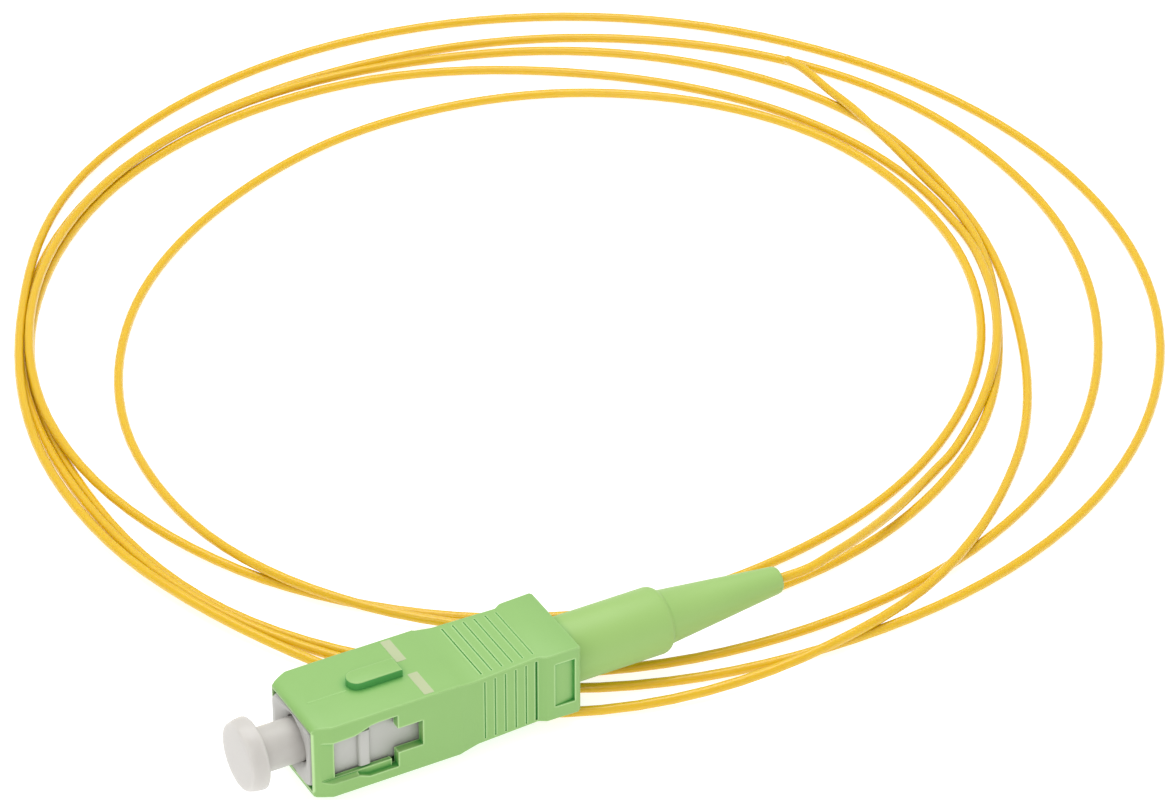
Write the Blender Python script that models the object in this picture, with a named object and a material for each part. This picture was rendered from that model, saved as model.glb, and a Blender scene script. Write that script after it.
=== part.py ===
"""Fibre optic pigtail: a push-pull plug with a dust cap on one end of a coiled single fibre.

The plug lies along X, its open end towards -X, on the strands of the coil that pass under it.
The origin is the middle of the underside of the outer housing's front part.
Places along the plug are counted from a datum at the plug's front, FRONT_X, towards the boot.
"""

import bmesh
import bpy
import math
from mathutils import Vector

MM = 0.001

# What touches on the real plug keeps this gap here
SEAT_GAP = 0.3 * MM
FRAME_CLEARANCE = 0.3 * MM
FERRULE_CLEARANCE = 0.3 * MM
STEM_CLEARANCE = 0.45 * MM
BOOT_CLEARANCE = 0.3 * MM
FIBRE_CLEARANCE = 0.3 * MM
SPRING_CLEARANCE = 0.3 * MM

# Outer housing, the green grip
FRONT_LENGTH = 14.0 * MM
HOUSING_WIDTH = 9.0 * MM
HOUSING_HEIGHT = 7.4 * MM
HOUSING_CORNER = 0.5 * MM
FRONT_SETBACK = 0.45 * MM
FRONT_ROUND_LENGTH = 1.5 * MM
FRONT_ROUND_SIDE = 0.6 * MM
FRONT_ROUND_TOP = 0.15 * MM
REAR_EDGE = 0.4 * MM
WAIST_WIDTH = 8.6 * MM
WAIST_HEIGHT = 6.8 * MM
WAIST_LENGTH = 0.2 * MM
STEP_LENGTH = 1.9 * MM
GRIP_LENGTH = 5.8 * MM
GRIP_REAR_WIDTH = 8.0 * MM
GRIP_REAR_HEIGHT = 7.1 * MM
GROOVE_START = 0.5 * MM
GROOVE_COUNT = 6
GROOVE_PITCH = 1.02 * MM
GROOVE_WIDTH = 0.28 * MM
GROOVE_DEPTH = 0.2 * MM
GROOVE_MARGIN = 0.35 * MM
FLARE_LENGTH = 0.6 * MM
BLOCK_LENGTH = 3.3 * MM
BLOCK_WIDTH = 8.9 * MM
BLOCK_HEIGHT = 7.3 * MM
PANEL_LENGTH = 2.0 * MM
PANEL_HEIGHT = 4.5 * MM
PANEL_DEPTH = 0.25 * MM

# How far the housing slides back over the plug frame to let go of an adapter
HOUSING_TRAVEL = 1.8 * MM

# Key on the top of the housing
KEY_FRONT = 5.4 * MM
KEY_LENGTH = 5.2 * MM
KEY_WIDTH = 1.95 * MM
KEY_HEIGHT = 0.75 * MM

# Latch window through both sides of the housing
WINDOW_FRONT = 2.3 * MM
WINDOW_LENGTH = 5.9 * MM
WINDOW_TALL = 5.4 * MM
WINDOW_LOW = 4.0 * MM
WINDOW_LEVEL = 2.05 * MM
WINDOW_RAMP = 1.6 * MM
WINDOW_SLOT_LENGTH = 2.36 * MM
WINDOW_SLOT_HEIGHT = 2.6 * MM
POST_FRONT = 0.9 * MM
POST_DEPTH = 0.45 * MM

# How far the cutters reach past the faces they cut
REACH = 1.0 * MM

# Plug frame, the white part that latches in an adapter
FRAME_WIDTH = 7.0 * MM
FRAME_HEIGHT = 5.6 * MM
FRAME_CORNER = 0.4 * MM
FRAME_SETBACK = 0.3 * MM
FRAME_FRONT_LENGTH = 12.7 * MM
FRAME_STEP_LENGTH = 0.2 * MM
FRAME_REAR_WIDTH = 5.2 * MM
FRAME_REAR_HEIGHT = 4.6 * MM
FRAME_REAR_LENGTH = 6.0 * MM
LATCH_RIDGE_FRONT = 4.8 * MM
LATCH_RIDGE_LENGTH = 1.1 * MM
LATCH_RIDGE_HEIGHT = 3.1 * MM
LATCH_RIDGE_PROUD = 0.45 * MM
SLEEVE_BORE_DEPTH = 6.7 * MM
NECK_LENGTH = 1.0 * MM

# How far the ferrule gives way against its spring when two plugs meet
FERRULE_TRAVEL = 1.0 * MM

# Ferrule, its holder and its spring
FERRULE_RADIUS = 1.25 * MM
FERRULE_LENGTH = 11.3 * MM
FERRULE_PROUD = 0.8 * MM
FERRULE_CHAMFER = 0.45 * MM
FERRULE_TIP_ANGLE = math.radians(8)
HOLDER_RADIUS = 1.9 * MM
HOLDER_CUP_LENGTH = 2.8 * MM
HOLDER_CUP_WALL = 0.35 * MM
HOLDER_TAIL_RADIUS = 1.15 * MM
HOLDER_TAIL_LENGTH = 5.8 * MM
SPRING_WIRE_RADIUS = 0.15 * MM
SPRING_RADIUS = 1.62 * MM
SPRING_TURNS = 3
SPRING_POINTS_PER_TURN = 14

# Rear body, the metal piece that closes the frame and carries the boot
REAR_BODY_SPIGOT_LENGTH = 4.6 * MM
REAR_BODY_WALL = 0.4 * MM
REAR_BODY_FLANGE_RADIUS = 2.25 * MM
REAR_BODY_FLANGE_LENGTH = 1.0 * MM
REAR_BODY_POST_RADIUS = 1.6 * MM
REAR_BODY_POST_LENGTH = 11.0 * MM

# Boot, the two-step strain relief
BOOT_NECK_RADIUS = 2.3 * MM
BOOT_RADIUS = 3.05 * MM
BOOT_SLEEVE_HIDDEN = 1.2 * MM
BOOT_SLEEVE_SHOWN = 9.7 * MM
BOOT_SHOULDER = 0.8 * MM
BOOT_SHOULDER_TURN = 0.5 * MM
BOOT_SHOULDER_DROP = 0.2 * MM
BOOT_CONE_RADIUS = 2.45 * MM
BOOT_CONE_LENGTH = 11.7 * MM
BOOT_TIP_RADIUS = 1.22 * MM
BOOT_TIP_ROUND = 0.35 * MM

# Dust cap
CAP_FLANGE_RADIUS = 3.2 * MM
CAP_FLANGE_LENGTH = 1.4 * MM
CAP_EDGE = 0.25 * MM
CAP_STEM_RADIUS = 2.0 * MM
CAP_STEM_SHOWN = 3.25 * MM
CAP_STEM_INSIDE = 4.6 * MM
CAP_BORE_RELIEF = 0.6 * MM

# Fibre cord and its coil on the floor
CORD_RADIUS = 0.45 * MM
COIL_OUTER_CENTRE = (48.5 * MM, 50.2 * MM)
COIL_OUTER_RADIUS = 57.3 * MM
COIL_INNER_CENTRE = (44.9 * MM, 49.6 * MM)
COIL_INNER_RADIUS = 41.2 * MM
COIL_SEGMENTS = 96

# The stretch from the boot to the coil, in millimetres: straight out of the boot, then down
LEAD_ROUTE = (
    (27.0, 0.0, 3.7),
    (34.0, 0.0, 3.7),
    (41.0, 0.0, 3.7),
    (44.2, 0.15, 3.66),
    (47.6, 1.4, 3.35),
    (51.3, 3.4, 2.45),
    (55.0, 5.75, 1.4),
    (58.6, 8.15, 0.5),
)
LEAD_POINT_SPACING = 2.2 * MM

# A rounded edge in steps: the share of its length that is left, and the share of its depth
ROUND_STEPS = ((1.0, 1.0), (0.2, 0.15), (0.0, 0.0))

# How far in the middle of a rounded edge lies, of its radius
ROUND_SHARE = 1 - math.cos(math.pi / 4)

ROUND_SEGMENTS = 40
CORNER_SEGMENTS = 3

# Places that follow from the sizes above
FRONT_X = -FRONT_LENGTH / 2
AXIS_Z = HOUSING_HEIGHT / 2
WAIST_X = FRONT_X + FRONT_LENGTH + STEP_LENGTH
GRIP_X = WAIST_X + WAIST_LENGTH
FLARE_X = GRIP_X + GRIP_LENGTH
BLOCK_X = FLARE_X + FLARE_LENGTH
HOUSING_REAR_X = BLOCK_X + BLOCK_LENGTH
FRAME_X = FRONT_X + FRAME_SETBACK
FRAME_STEP_X = FRAME_X + FRAME_FRONT_LENGTH
FRAME_REAR_X = FRAME_STEP_X + FRAME_REAR_LENGTH
NECK_X = FRAME_X + SLEEVE_BORE_DEPTH
HOLDER_X = NECK_X + NECK_LENGTH + SEAT_GAP
FERRULE_TIP_X = FRONT_X - FERRULE_PROUD
HOLDER_BORE = HOLDER_RADIUS + FRAME_CLEARANCE
SPRING_X = HOLDER_X + HOLDER_CUP_LENGTH + SEAT_GAP
FLANGE_X = FRAME_REAR_X + SEAT_GAP
FLANGE_END_X = FLANGE_X + REAR_BODY_FLANGE_LENGTH
SPIGOT_X = FLANGE_X - REAR_BODY_SPIGOT_LENGTH
SPRING_END_X = SPIGOT_X - SEAT_GAP
BOOT_X = FLANGE_END_X + SEAT_GAP
SLEEVE_X = HOUSING_REAR_X - BOOT_SLEEVE_HIDDEN
SHOULDER_X = HOUSING_REAR_X + BOOT_SLEEVE_SHOWN
CONE_X = SHOULDER_X + BOOT_SHOULDER
BOOT_TIP_X = CONE_X + BOOT_CONE_LENGTH
BOOT_HOLE_RADIUS = BOOT_RADIUS + BOOT_CLEARANCE
BOOT_HOLE_X = SLEEVE_X - HOUSING_TRAVEL - BOOT_CLEARANCE
CAVITY_HALF_WIDTH = FRAME_WIDTH / 2 + FRAME_CLEARANCE
CAVITY_HALF_HEIGHT = FRAME_HEIGHT / 2 + FRAME_CLEARANCE
REAR_CAVITY_HALF_WIDTH = FRAME_REAR_WIDTH / 2 + FRAME_CLEARANCE
REAR_CAVITY_HALF_HEIGHT = FRAME_REAR_HEIGHT / 2 + FRAME_CLEARANCE
FIBRE_BORE = CORD_RADIUS + FIBRE_CLEARANCE
COIL_TOP_Z = -SEAT_GAP
COIL_BOTTOM_Z = COIL_TOP_Z - 2 * CORD_RADIUS


def clear_scene():
    """Remove every object that is already in the scene."""
    for obj in list(bpy.data.objects):
        bpy.data.objects.remove(obj, do_unlink=True)


def make_material(name, colour, roughness, metallic=0.0):
    """A Principled material with the piece's plain colour."""
    material = bpy.data.materials.new(name)
    material.use_nodes = True
    shader = material.node_tree.nodes["Principled BSDF"]
    shader.inputs["Base Color"].default_value = (*colour, 1.0)
    shader.inputs["Roughness"].default_value = roughness
    shader.inputs["Metallic"].default_value = metallic
    return material


def add_object(name, bm, material=None):
    """Turn a bmesh into a named object with its faces pointing out."""
    bmesh.ops.recalc_face_normals(bm, faces=bm.faces)
    mesh = bpy.data.meshes.new(name)
    bm.to_mesh(mesh)
    bm.free()
    obj = bpy.data.objects.new(name, mesh)
    bpy.context.collection.objects.link(obj)
    if material:
        mesh.materials.append(material)
    return obj


def shade_round(obj):
    """Smooth the round faces and keep the sharp edges."""
    obj.data.shade_smooth()
    obj.data.set_sharp_from_angle(angle=math.radians(30))


def boolean(obj, other, operation):
    """Cut or join another object; that other object is hidden as a guide."""
    modifier = obj.modifiers.new(other.name, "BOOLEAN")
    modifier.operation = operation
    modifier.solver = "EXACT"
    modifier.object = other
    other.hide_render = True
    other.display_type = "WIRE"


def section_points(width, height, corner, recess=0.0):
    """Points round a rounded rectangle about the plug's axis, with its flats sunk by recess."""
    half_y = width / 2
    half_z = height / 2
    inner_y = half_y - corner
    inner_z = half_z - corner
    margin = GROOVE_MARGIN
    points = []
    quadrants = (
        (inner_y, inner_z, (inner_y - margin, half_z - recess), (-inner_y + margin, half_z - recess)),
        (-inner_y, inner_z, (-half_y + recess, inner_z - margin), (-half_y + recess, -inner_z + margin)),
        (-inner_y, -inner_z, (-inner_y + margin, -half_z + recess), (inner_y - margin, -half_z + recess)),
        (inner_y, -inner_z, (half_y - recess, -inner_z + margin), (half_y - recess, inner_z - margin)),
    )
    for index, (centre_y, centre_z, first, second) in enumerate(quadrants):
        for step in range(CORNER_SEGMENTS + 1):
            angle = math.pi / 2 * (index + step / CORNER_SEGMENTS)
            points.append((centre_y + corner * math.cos(angle), centre_z + corner * math.sin(angle)))
        points.extend((first, second))
    return points


def loft_along_x(name, sections, material=None):
    """A closed solid through rounded rectangles: each section is (x, width, height, corner, recess)."""
    bm = bmesh.new()
    rings = []
    for x, width, height, corner, recess in sections:
        ring = [bm.verts.new((x, y, AXIS_Z + z)) for y, z in section_points(width, height, corner, recess)]
        rings.append(ring)
    for ring, following in zip(rings, rings[1:]):
        for index in range(len(ring)):
            after = (index + 1) % len(ring)
            bm.faces.new((ring[index], ring[after], following[after], following[index]))
    bm.faces.new(rings[0])
    bm.faces.new(rings[-1])
    return add_object(name, bm, material)


def add_box(name, low, high):
    """An upright block between two corners."""
    bm = bmesh.new()
    bmesh.ops.create_cube(bm, size=1.0)
    size = Vector(high) - Vector(low)
    middle = (Vector(high) + Vector(low)) / 2
    bmesh.ops.scale(bm, vec=size, verts=bm.verts)
    bmesh.ops.translate(bm, vec=middle, verts=bm.verts)
    return add_object(name, bm)


def turn_about_axis(name, profile, material=None):
    """Spin a closed outline of (x, radius) points about the plug's axis."""
    bm = bmesh.new()
    verts = [bm.verts.new((x, 0.0, AXIS_Z + radius)) for x, radius in profile]
    closing = [(verts[-1], verts[0])]
    for first, second in list(zip(verts, verts[1:])) + closing:
        if first.co.z - AXIS_Z < 1e-9 and second.co.z - AXIS_Z < 1e-9:
            continue
        bm.edges.new((first, second))
    bmesh.ops.spin(
        bm,
        geom=bm.verts[:] + bm.edges[:],
        cent=(0.0, 0.0, AXIS_Z),
        axis=(1.0, 0.0, 0.0),
        angle=2 * math.pi,
        steps=ROUND_SEGMENTS,
        use_merge=True,
    )
    bmesh.ops.remove_doubles(bm, verts=bm.verts, dist=1e-7)
    obj = add_object(name, bm, material)
    shade_round(obj)
    return obj


def extrude_outline(name, outline, half_width):
    """Extrude an outline of (x, z) points to both sides of the middle plane."""
    bm = bmesh.new()
    near = [bm.verts.new((x, -half_width, z)) for x, z in outline]
    face = bm.faces.new(near)
    grown = bmesh.ops.extrude_face_region(bm, geom=[face])
    moved = [item for item in grown["geom"] if isinstance(item, bmesh.types.BMVert)]
    bmesh.ops.translate(bm, vec=(0.0, 2 * half_width, 0.0), verts=moved)
    return add_object(name, bm)


def housing_sections():
    """The housing from its front face to its rear face, grooves included."""
    sections = [
        (
            FRONT_X + FRONT_SETBACK + (1 - share) * FRONT_ROUND_LENGTH,
            HOUSING_WIDTH - 2 * drop * FRONT_ROUND_SIDE,
            HOUSING_HEIGHT - 2 * drop * FRONT_ROUND_TOP,
            HOUSING_CORNER,
            0.0,
        )
        for share, drop in ROUND_STEPS
    ]
    sections += [
        (WAIST_X - STEP_LENGTH, HOUSING_WIDTH, HOUSING_HEIGHT, HOUSING_CORNER, 0.0),
        (WAIST_X, WAIST_WIDTH, WAIST_HEIGHT, HOUSING_CORNER, 0.0),
        (GRIP_X, WAIST_WIDTH, WAIST_HEIGHT, HOUSING_CORNER, 0.0),
    ]
    offsets = (-0.5, -0.25, 0.25, 0.5)
    recesses = (0.0, GROOVE_DEPTH, GROOVE_DEPTH, 0.0)
    for index in range(GROOVE_COUNT):
        middle = GRIP_X + GROOVE_START + index * GROOVE_PITCH
        for offset, recess in zip(offsets, recesses):
            x = middle + offset * GROOVE_WIDTH
            share = (x - GRIP_X) / GRIP_LENGTH
            width = WAIST_WIDTH + share * (GRIP_REAR_WIDTH - WAIST_WIDTH)
            height = WAIST_HEIGHT + share * (GRIP_REAR_HEIGHT - WAIST_HEIGHT)
            sections.append((x, width, height, HOUSING_CORNER, recess))
    sections += [
        (FLARE_X, GRIP_REAR_WIDTH, GRIP_REAR_HEIGHT, HOUSING_CORNER, 0.0),
        (BLOCK_X, BLOCK_WIDTH, BLOCK_HEIGHT, HOUSING_CORNER, 0.0),
        (HOUSING_REAR_X - REAR_EDGE, BLOCK_WIDTH, BLOCK_HEIGHT, HOUSING_CORNER, 0.0),
        (HOUSING_REAR_X, BLOCK_WIDTH - REAR_EDGE, BLOCK_HEIGHT - REAR_EDGE, HOUSING_CORNER, 0.0),
    ]
    return sections


def window_outline():
    """Outline of the latch window: level at the front, a ramp to its full height, then a narrow slot."""
    x = [FRONT_X + WINDOW_FRONT]
    x.append(x[0] + WINDOW_LEVEL)
    x.append(x[1] + WINDOW_RAMP)
    x.append(x[0] + WINDOW_LENGTH)
    x.append(x[3] + WINDOW_SLOT_LENGTH)
    upper = [
        (x[0], WINDOW_LOW / 2),
        (x[1], WINDOW_LOW / 2),
        (x[2], WINDOW_TALL / 2),
        (x[3], WINDOW_TALL / 2),
        (x[3], WINDOW_SLOT_HEIGHT / 2),
        (x[4], WINDOW_SLOT_HEIGHT / 2),
    ]
    points = upper + [(place, -height) for place, height in reversed(upper)]
    return [(place, AXIS_Z + height) for place, height in points]


def key_bar(material):
    """The key, a bar with a round front end, sunk into the top of the housing."""
    radius = KEY_WIDTH / 2
    start = FRONT_X + KEY_FRONT + radius
    end = FRONT_X + KEY_FRONT + KEY_LENGTH
    outline = [(end, radius), (start, radius)]
    steps = 10
    for step in range(1, steps):
        angle = math.pi / 2 + math.pi * step / steps
        outline.append((start + radius * math.cos(angle), radius * math.sin(angle)))
    outline += [(start, -radius), (end, -radius)]
    bottom = HOUSING_HEIGHT - KEY_HEIGHT / 2
    bm = bmesh.new()
    face = bm.faces.new([bm.verts.new((x, y, bottom)) for x, y in outline])
    grown = bmesh.ops.extrude_face_region(bm, geom=[face])
    moved = [item for item in grown["geom"] if isinstance(item, bmesh.types.BMVert)]
    bmesh.ops.translate(bm, vec=(0.0, 0.0, HOUSING_HEIGHT + KEY_HEIGHT - bottom), verts=moved)
    return add_object("key_guide", bm, material)


def post_cutters():
    """Recesses over the posts in front of the windows."""
    cutters = []
    half_height = WINDOW_LOW / 2
    for side in (-1, 1):
        face_y = side * HOUSING_WIDTH / 2
        outline = [
            (FRONT_X - REACH, face_y + side * REACH),
            (FRONT_X + WINDOW_FRONT, face_y + side * REACH),
            (FRONT_X + WINDOW_FRONT, face_y - side * POST_DEPTH),
            (FRONT_X + POST_FRONT, face_y - side * POST_DEPTH),
        ]
        bm = bmesh.new()
        face = bm.faces.new([bm.verts.new((x, y, AXIS_Z - half_height)) for x, y in outline])
        grown = bmesh.ops.extrude_face_region(bm, geom=[face])
        moved = [item for item in grown["geom"] if isinstance(item, bmesh.types.BMVert)]
        bmesh.ops.translate(bm, vec=(0.0, 0.0, 2 * half_height), verts=moved)
        name = "post_recess_near" if side < 0 else "post_recess_far"
        cutters.append(add_object(name, bm))
    return cutters


def panel_cutters():
    """Shallow bare panels on both sides of the rear block."""
    cutters = []
    middle = (BLOCK_X + HOUSING_REAR_X) / 2
    for side in (-1, 1):
        face_y = side * BLOCK_WIDTH / 2
        inner = face_y - side * PANEL_DEPTH
        outer = face_y + side * PANEL_DEPTH
        low = (middle - PANEL_LENGTH / 2, min(inner, outer), AXIS_Z - PANEL_HEIGHT / 2)
        high = (middle + PANEL_LENGTH / 2, max(inner, outer), AXIS_Z + PANEL_HEIGHT / 2)
        name = "panel_near" if side < 0 else "panel_far"
        cutters.append(add_box(name, low, high))
    return cutters


def make_outer_housing(material):
    """The sliding grip: outer form, key, cavity, windows and panels."""
    housing = loft_along_x("outer_housing", housing_sections(), material)
    boolean(housing, key_bar(material), "UNION")
    front_cavity = add_box(
        "front_cavity",
        (FRONT_X - REACH, -CAVITY_HALF_WIDTH, AXIS_Z - CAVITY_HALF_HEIGHT),
        (FRAME_STEP_X + FRAME_STEP_LENGTH + FRAME_CLEARANCE, CAVITY_HALF_WIDTH, AXIS_Z + CAVITY_HALF_HEIGHT),
    )
    boolean(housing, front_cavity, "DIFFERENCE")
    rear_cavity = add_box(
        "rear_cavity",
        (FRAME_STEP_X, -REAR_CAVITY_HALF_WIDTH, AXIS_Z - REAR_CAVITY_HALF_HEIGHT),
        (BOOT_HOLE_X + BOOT_CLEARANCE, REAR_CAVITY_HALF_WIDTH, AXIS_Z + REAR_CAVITY_HALF_HEIGHT),
    )
    boolean(housing, rear_cavity, "DIFFERENCE")
    boot_hole = turn_about_axis(
        "boot_hole",
        (
            (BOOT_HOLE_X, 0.0),
            (BOOT_HOLE_X, BOOT_HOLE_RADIUS),
            (HOUSING_REAR_X + REACH, BOOT_HOLE_RADIUS),
            (HOUSING_REAR_X + REACH, 0.0),
        ),
    )
    boolean(housing, boot_hole, "DIFFERENCE")
    window = extrude_outline("latch_window", window_outline(), HOUSING_WIDTH / 2 + REACH)
    boolean(housing, window, "DIFFERENCE")
    for cutter in post_cutters() + panel_cutters():
        boolean(housing, cutter, "DIFFERENCE")
    return housing


def make_plug_frame(material):
    """The inner plug frame with its latch ridges and stepped bore."""
    frame = loft_along_x(
        "plug_frame",
        (
            (FRAME_X, FRAME_WIDTH, FRAME_HEIGHT, FRAME_CORNER, 0.0),
            (FRAME_STEP_X, FRAME_WIDTH, FRAME_HEIGHT, FRAME_CORNER, 0.0),
            (FRAME_STEP_X + FRAME_STEP_LENGTH, FRAME_REAR_WIDTH, FRAME_REAR_HEIGHT, FRAME_CORNER, 0.0),
            (FRAME_REAR_X, FRAME_REAR_WIDTH, FRAME_REAR_HEIGHT, FRAME_CORNER, 0.0),
        ),
        material,
    )
    ridge_x = FRONT_X + LATCH_RIDGE_FRONT
    ridge = add_box(
        "latch_ridge",
        (ridge_x, -FRAME_WIDTH / 2 - LATCH_RIDGE_PROUD, AXIS_Z - LATCH_RIDGE_HEIGHT / 2),
        (ridge_x + LATCH_RIDGE_LENGTH, FRAME_WIDTH / 2 + LATCH_RIDGE_PROUD, AXIS_Z + LATCH_RIDGE_HEIGHT / 2),
    )
    boolean(frame, ridge, "UNION")
    sleeve_radius = CAP_STEM_RADIUS + STEM_CLEARANCE
    neck_radius = FERRULE_RADIUS + FERRULE_CLEARANCE
    bore = turn_about_axis(
        "frame_bore",
        (
            (FRAME_X - REACH, 0.0),
            (FRAME_X - REACH, sleeve_radius),
            (NECK_X, sleeve_radius),
            (NECK_X, neck_radius),
            (NECK_X + NECK_LENGTH, neck_radius),
            (NECK_X + NECK_LENGTH, HOLDER_BORE),
            (FRAME_REAR_X + REACH, HOLDER_BORE),
            (FRAME_REAR_X + REACH, 0.0),
        ),
    )
    boolean(frame, bore, "DIFFERENCE")
    return frame


def make_ferrule(material):
    """The ferrule, chamfered and polished at an angle at its tip."""
    end_x = FERRULE_TIP_X + FERRULE_LENGTH
    ferrule = turn_about_axis(
        "ferrule",
        (
            (FERRULE_TIP_X, 0.0),
            (FERRULE_TIP_X, FERRULE_RADIUS - FERRULE_CHAMFER / 2),
            (FERRULE_TIP_X + FERRULE_CHAMFER, FERRULE_RADIUS),
            (end_x, FERRULE_RADIUS),
            (end_x, 0.0),
        ),
        material,
    )
    mesh = ferrule.data
    bm = bmesh.new()
    bm.from_mesh(mesh)
    rise = (FERRULE_RADIUS - FERRULE_CHAMFER / 2) * math.tan(FERRULE_TIP_ANGLE)
    cut = bmesh.ops.bisect_plane(
        bm,
        geom=bm.verts[:] + bm.edges[:] + bm.faces[:],
        plane_co=(FERRULE_TIP_X + rise, 0.0, AXIS_Z),
        plane_no=(-math.cos(FERRULE_TIP_ANGLE), 0.0, math.sin(FERRULE_TIP_ANGLE)),
        clear_outer=True,
    )
    edges = [item for item in cut["geom_cut"] if isinstance(item, bmesh.types.BMEdge)]
    bmesh.ops.edgeloop_fill(bm, edges=edges)
    bmesh.ops.recalc_face_normals(bm, faces=bm.faces)
    bm.to_mesh(mesh)
    bm.free()
    shade_round(ferrule)
    return ferrule


def make_ferrule_holder(material):
    """The flanged metal cup that holds the ferrule's rear end and guides the spring."""
    cup_end = HOLDER_X + HOLDER_CUP_LENGTH
    cup_bore = HOLDER_RADIUS - HOLDER_CUP_WALL
    tail_end = cup_end + HOLDER_TAIL_LENGTH
    ferrule_end = FERRULE_TIP_X + FERRULE_LENGTH
    return turn_about_axis(
        "ferrule_holder",
        (
            (HOLDER_X, cup_bore),
            (HOLDER_X, HOLDER_RADIUS),
            (cup_end, HOLDER_RADIUS),
            (cup_end, HOLDER_TAIL_RADIUS),
            (tail_end, HOLDER_TAIL_RADIUS),
            (tail_end, FIBRE_BORE),
            (ferrule_end + SEAT_GAP, FIBRE_BORE),
            (ferrule_end + SEAT_GAP, cup_bore),
        ),
        material,
    )


def make_spring(material):
    """The coil spring that pushes the ferrule holder forwards."""
    count = SPRING_TURNS * SPRING_POINTS_PER_TURN
    curve = bpy.data.curves.new("ferrule_spring", "CURVE")
    curve.dimensions = "3D"
    curve.bevel_depth = SPRING_WIRE_RADIUS
    curve.bevel_resolution = 1
    curve.use_fill_caps = True
    spline = curve.splines.new("POLY")
    spline.points.add(count)
    start = SPRING_X + SPRING_WIRE_RADIUS
    length = SPRING_END_X - SPRING_X - 2 * SPRING_WIRE_RADIUS
    for index in range(count + 1):
        angle = 2 * math.pi * index / SPRING_POINTS_PER_TURN
        x = start + length * index / count
        y = SPRING_RADIUS * math.cos(angle)
        z = AXIS_Z + SPRING_RADIUS * math.sin(angle)
        spline.points[index].co = (x, y, z, 1.0)
    curve.materials.append(material)
    spring = bpy.data.objects.new("ferrule_spring", curve)
    bpy.context.collection.objects.link(spring)
    return spring


def make_rear_body(material):
    """The turned rear body: spigot in the frame, flange, and the post inside the boot."""
    spigot_radius = HOLDER_BORE - SEAT_GAP
    tail_bore = HOLDER_TAIL_RADIUS + SPRING_CLEARANCE
    tail_end = HOLDER_X + HOLDER_CUP_LENGTH + HOLDER_TAIL_LENGTH
    tail_room = tail_end + FERRULE_TRAVEL + SPRING_CLEARANCE
    post_end = FLANGE_END_X + REAR_BODY_POST_LENGTH
    return turn_about_axis(
        "rear_body",
        (
            (SPIGOT_X, tail_bore),
            (SPIGOT_X, spigot_radius),
            (FLANGE_X, spigot_radius),
            (FLANGE_X, REAR_BODY_FLANGE_RADIUS),
            (FLANGE_END_X, REAR_BODY_FLANGE_RADIUS),
            (FLANGE_END_X, REAR_BODY_POST_RADIUS),
            (post_end, REAR_BODY_POST_RADIUS),
            (post_end, FIBRE_BORE),
            (tail_room, FIBRE_BORE),
            (tail_room, tail_bore),
        ),
        material,
    )


def make_boot(material):
    """The rubber boot: a straight sleeve, a shoulder and a cone to a rounded tip."""
    sleeve_bore = REAR_BODY_POST_RADIUS + SEAT_GAP
    sleeve_end = FLANGE_END_X + REAR_BODY_POST_LENGTH + SEAT_GAP
    return turn_about_axis(
        "boot",
        (
            (BOOT_X, sleeve_bore),
            (BOOT_X, BOOT_NECK_RADIUS),
            (SLEEVE_X, BOOT_NECK_RADIUS),
            (SLEEVE_X, BOOT_RADIUS),
            (SHOULDER_X, BOOT_RADIUS),
            (SHOULDER_X + BOOT_SHOULDER_TURN, BOOT_RADIUS - BOOT_SHOULDER_DROP),
            (CONE_X, BOOT_CONE_RADIUS),
            (BOOT_TIP_X - BOOT_TIP_ROUND, BOOT_TIP_RADIUS),
            (BOOT_TIP_X - ROUND_SHARE * BOOT_TIP_ROUND, BOOT_TIP_RADIUS - ROUND_SHARE * BOOT_TIP_ROUND),
            (BOOT_TIP_X, BOOT_TIP_RADIUS - BOOT_TIP_ROUND),
            (BOOT_TIP_X, FIBRE_BORE),
            (sleeve_end, FIBRE_BORE),
            (sleeve_end, sleeve_bore),
        ),
        material,
    )


def make_dust_cap(material):
    """The dust cap: a round tube over the ferrule with a flange to pull on."""
    stem_end = FRONT_X + CAP_STEM_INSIDE
    flange_back = FRONT_X - CAP_STEM_SHOWN
    flange_front = flange_back - CAP_FLANGE_LENGTH
    bore_radius = FERRULE_RADIUS + FERRULE_CLEARANCE
    bore_end = FERRULE_TIP_X - CAP_BORE_RELIEF
    return turn_about_axis(
        "dust_cap",
        (
            (flange_front, 0.0),
            (flange_front, CAP_FLANGE_RADIUS - CAP_EDGE),
            (flange_front + ROUND_SHARE * CAP_EDGE, CAP_FLANGE_RADIUS - ROUND_SHARE * CAP_EDGE),
            (flange_front + CAP_EDGE, CAP_FLANGE_RADIUS),
            (flange_back - CAP_EDGE, CAP_FLANGE_RADIUS),
            (flange_back, CAP_FLANGE_RADIUS - CAP_EDGE),
            (flange_back, CAP_STEM_RADIUS),
            (stem_end, CAP_STEM_RADIUS),
            (stem_end, bore_radius),
            (bore_end, bore_radius),
            (bore_end, 0.0),
        ),
        material,
    )


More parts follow.
